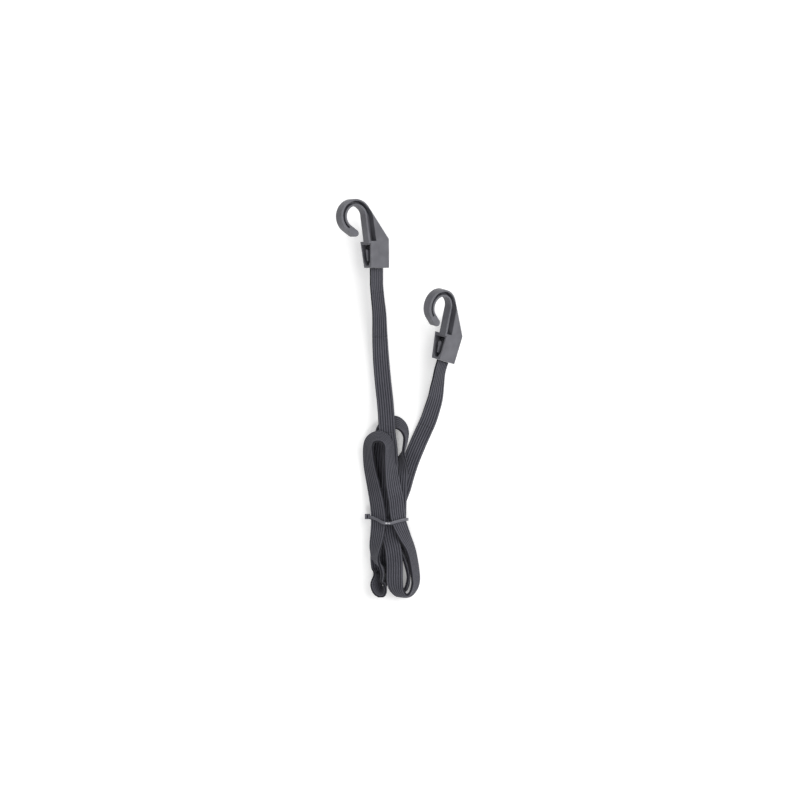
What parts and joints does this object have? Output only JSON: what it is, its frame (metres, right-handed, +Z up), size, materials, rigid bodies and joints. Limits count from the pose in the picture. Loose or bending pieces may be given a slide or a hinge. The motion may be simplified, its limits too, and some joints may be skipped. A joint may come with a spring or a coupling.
{
  "type": "flat bungee cord",
  "caption": "Flat elastic bungee strap with a moulded plastic hook wedged on each end, folded into a hank and held by a cable tie; hooks over a rail or edge and pulls a load down.",
  "frame": {"origin": "on the surface that the object lies on, under the centre of its bounding box", "axes": "+Z up from the surface, +Y along the hank towards the hooks, +X to the side of the second hook"},
  "size_m": [0.114, 0.3586, 0.053],
  "materials": {
    "moulded_plastic": "satin black moulded plastic",
    "elastic_strap": "black woven polyester over rubber strands, ribbed along its length",
    "nylon_tie": "black nylon, slightly glossy"
  },
  "bodies": {
    "hank": {"strap_hank": "elastic_strap", "cable_tie": "nylon_tie", "strap_leg_1": "elastic_strap", "strap_leg_2": "elastic_strap"},
    "strap_1": {"strap_twist_1": "elastic_strap"},
    "neck_1": {"strap_neck_1": "elastic_strap"},
    "hook_1": {"hook_1": "moulded_plastic", "wedge_1": "moulded_plastic", "strap_end_1": "elastic_strap"},
    "strap_2": {"strap_twist_2": "elastic_strap"},
    "neck_2": {"strap_neck_2": "elastic_strap"},
    "hook_2": {"hook_2": "moulded_plastic", "wedge_2": "moulded_plastic", "strap_end_2": "elastic_strap"}
  },
  "joints": [
    {"name": "strap_1_stretch", "type": "slide", "parent": "hank", "child": "strap_1", "axis": [-0.0661, 0.9977, 0.0118], "range_m": [0, 0.12], "stiffness_N_per_m": 670, "deforming": ["strap_leg_1"]},
    {"name": "strap_1_twist", "type": "hinge", "parent": "strap_1", "child": "neck_1", "pos_m": [-0.01808, 0.07579, 0.01253], "axis": [0.0612, -0.9971, -0.0446], "range_deg": [-90, 60], "stiffness_Nm_per_rad": 0.05, "deforming": ["strap_twist_1"]},
    {"name": "hook_1_bend", "type": "hinge", "parent": "neck_1", "child": "hook_1", "pos_m": [-0.02058, 0.10658, 0.01443], "axis": [0.754, -0.0239, -0.6565], "range_deg": [0, 75], "stiffness_Nm_per_rad": 0.12, "deforming": ["strap_neck_1"]},
    {"name": "strap_2_stretch", "type": "slide", "parent": "hank", "child": "strap_2", "axis": [0.3016, 0.9459, 0.1201], "range_m": [0, 0.086], "stiffness_N_per_m": 930, "deforming": ["strap_leg_2"]},
    {"name": "strap_2_twist", "type": "hinge", "parent": "strap_2", "child": "neck_2", "pos_m": [0.03047, -0.0061, 0.00693], "axis": [-0.2049, -0.9617, -0.182], "range_deg": [-90, 60], "stiffness_Nm_per_rad": 0.05, "deforming": ["strap_twist_2"]},
    {"name": "hook_2_bend", "type": "hinge", "parent": "neck_2", "child": "hook_2", "pos_m": [0.03603, 0.02341, 0.01434], "axis": [0.6518, -0.0494, -0.7568], "range_deg": [0, 75], "stiffness_Nm_per_rad": 0.12, "deforming": ["strap_neck_2"]}
  ]
}
